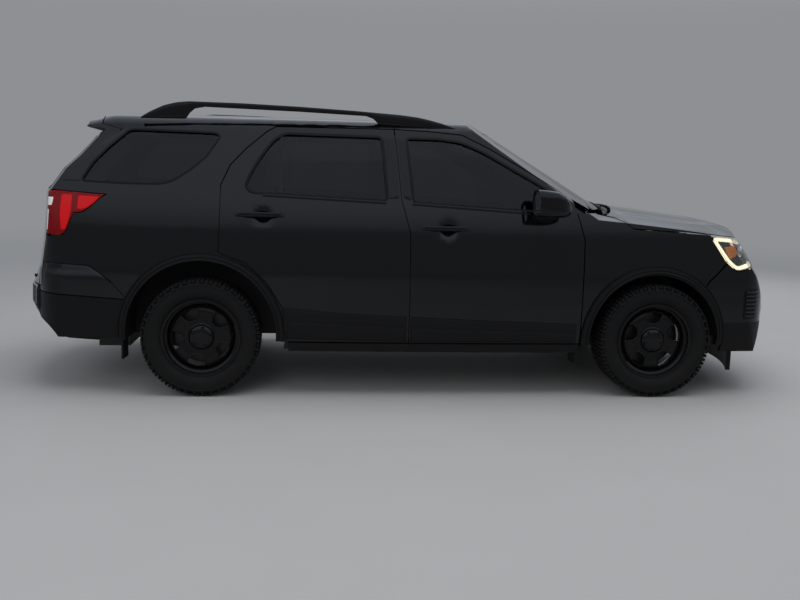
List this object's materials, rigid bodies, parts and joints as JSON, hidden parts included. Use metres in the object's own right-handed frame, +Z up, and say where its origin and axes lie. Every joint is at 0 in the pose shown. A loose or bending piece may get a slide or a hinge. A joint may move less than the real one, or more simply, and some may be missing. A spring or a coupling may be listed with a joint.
{
  "type": "police sport utility vehicle",
  "caption": "Five-door police sport utility vehicle with opening doors, hood and liftgate, steered front wheels and a hollow cabin with seats.",
  "frame": {"origin": "under the middle of the vehicle's overall box, on the ground", "axes": "+X towards the nose, +Y towards the vehicle's left side, +Z up"},
  "size_m": [5.0075, 2.29, 1.7969],
  "materials": {
    "body_paint": "gloss",
    "underbody_paint": "satin",
    "trim_plastic": "matt",
    "gloss_black": "gloss",
    "lamp_clear": "gloss",
    "lamp_red": "gloss",
    "dark_glass": "gloss",
    "cast_metal": "matt",
    "exhaust_steel": "satin",
    "tank_plastic": "matt",
    "seat_fabric": "matt",
    "cabin_plastic": "matt",
    "wheel_paint": "satin",
    "seal_rubber": "matt",
    "tyre": "matt"
  },
  "bodies": {
    "body": {"body_side_right": "body_paint", "body_side_left": "body_paint", "floor_pan": "underbody_paint", "roof": "body_paint", "firewall": "underbody_paint", "front_structure": "underbody_paint", "front_fenders": "body_paint", "front_bumper": "body_paint", "bumper_valances": "trim_plastic", "grille": "trim_plastic", "headlamps": "lamp_clear", "rear_bumper": "body_paint", "tail_lamps": "lamp_red", "fixed_glass": "dark_glass", "roof_rails": "trim_plastic", "arch_trim": "trim_plastic", "rocker_trim": "trim_plastic", "engine": "cast_metal", "driveline": "cast_metal", "exhaust": "exhaust_steel", "fuel_tank": "tank_plastic", "front_suspension": "cast_metal", "rear_suspension": "cast_metal", "front_seats": "seat_fabric", "rear_seats": "seat_fabric", "dashboard": "cabin_plastic", "cowl": "trim_plastic", "door_seals": "seal_rubber"},
    "door_front_right": {"door_front_right": "body_paint", "glass_front_right": "dark_glass", "mirror_right": "gloss_black"},
    "door_front_left": {"door_front_left": "body_paint", "glass_front_left": "dark_glass", "mirror_left": "gloss_black"},
    "door_rear_right": {"door_rear_right": "body_paint", "glass_rear_right": "dark_glass"},
    "door_rear_left": {"door_rear_left": "body_paint", "glass_rear_left": "dark_glass"},
    "hood": {"hood": "body_paint"},
    "liftgate": {"liftgate": "body_paint", "liftgate_glass": "dark_glass"},
    "steering_wheel": {"steering_wheel": "cabin_plastic"},
    "knuckle_right": {"knuckle_right": "cast_metal"},
    "knuckle_left": {"knuckle_left": "cast_metal"},
    "wheel_front_right": {"wheel_front_right": "wheel_paint", "tyre_front_right": "tyre"},
    "wheel_front_left": {"wheel_front_left": "wheel_paint", "tyre_front_left": "tyre"},
    "wheel_rear_right": {"wheel_rear_right": "wheel_paint", "tyre_rear_right": "tyre"},
    "wheel_rear_left": {"wheel_rear_left": "wheel_paint", "tyre_rear_left": "tyre"}
  },
  "joints": [
    {"name": "steer_right", "type": "hinge", "parent": "body", "child": "knuckle_right", "pos_m": [1.538, -0.781, 0.3635], "axis": [0, 0, 1], "range_deg": [-35, 35]},
    {"name": "steer_left", "type": "hinge", "parent": "body", "child": "knuckle_left", "pos_m": [1.538, 0.781, 0.3635], "axis": [0, 0, 1], "range_deg": [-35, 35]},
    {"name": "steering_wheel_turn", "type": "hinge", "parent": "body", "child": "steering_wheel", "pos_m": [0.608, 0.37, 0.962], "axis": [-0.9507, 0, 0.3102], "range_deg": [-490, 490]},
    {"name": "spin_front_right", "type": "hinge", "parent": "knuckle_right", "child": "wheel_front_right", "pos_m": [1.538, -0.851, 0.3635], "axis": [0, 1, 0], "continuous": true},
    {"name": "spin_front_left", "type": "hinge", "parent": "knuckle_left", "child": "wheel_front_left", "pos_m": [1.538, 0.851, 0.3635], "axis": [0, 1, 0], "continuous": true},
    {"name": "spin_rear_right", "type": "hinge", "parent": "body", "child": "wheel_rear_right", "pos_m": [-1.322, -0.851, 0.3635], "axis": [0, 1, 0], "continuous": true},
    {"name": "spin_rear_left", "type": "hinge", "parent": "body", "child": "wheel_rear_left", "pos_m": [-1.322, 0.851, 0.3635], "axis": [0, 1, 0], "continuous": true},
    {"name": "open_door_front_right", "type": "hinge", "parent": "body", "child": "door_front_right", "pos_m": [1.045, -0.98, 0.8], "axis": [0, 0, 1], "range_deg": [0, 65]},
    {"name": "open_door_front_left", "type": "hinge", "parent": "body", "child": "door_front_left", "pos_m": [1.045, 0.98, 0.8], "axis": [0, 0, -1], "range_deg": [0, 65]},
    {"name": "open_door_rear_right", "type": "hinge", "parent": "body", "child": "door_rear_right", "pos_m": [-0.05, -0.98, 0.8], "axis": [0, 0, 1], "range_deg": [0, 65]},
    {"name": "open_door_rear_left", "type": "hinge", "parent": "body", "child": "door_rear_left", "pos_m": [-0.05, 0.98, 0.8], "axis": [0, 0, -1], "range_deg": [0, 65]},
    {"name": "open_hood", "type": "hinge", "parent": "body", "child": "hood", "pos_m": [1.218, 0, 1.102], "axis": [0, -1, 0], "range_deg": [0, 50]},
    {"name": "open_liftgate", "type": "hinge", "parent": "body", "child": "liftgate", "pos_m": [-1.948, 0, 1.706], "axis": [0, 1, 0], "range_deg": [0, 80]}
  ],
  "couplings": [
    {"joint": "steer_left", "follows": "steer_right", "ratio": 1},
    {"joint": "steering_wheel_turn", "follows": "steer_right", "ratio": 14}
  ]
}
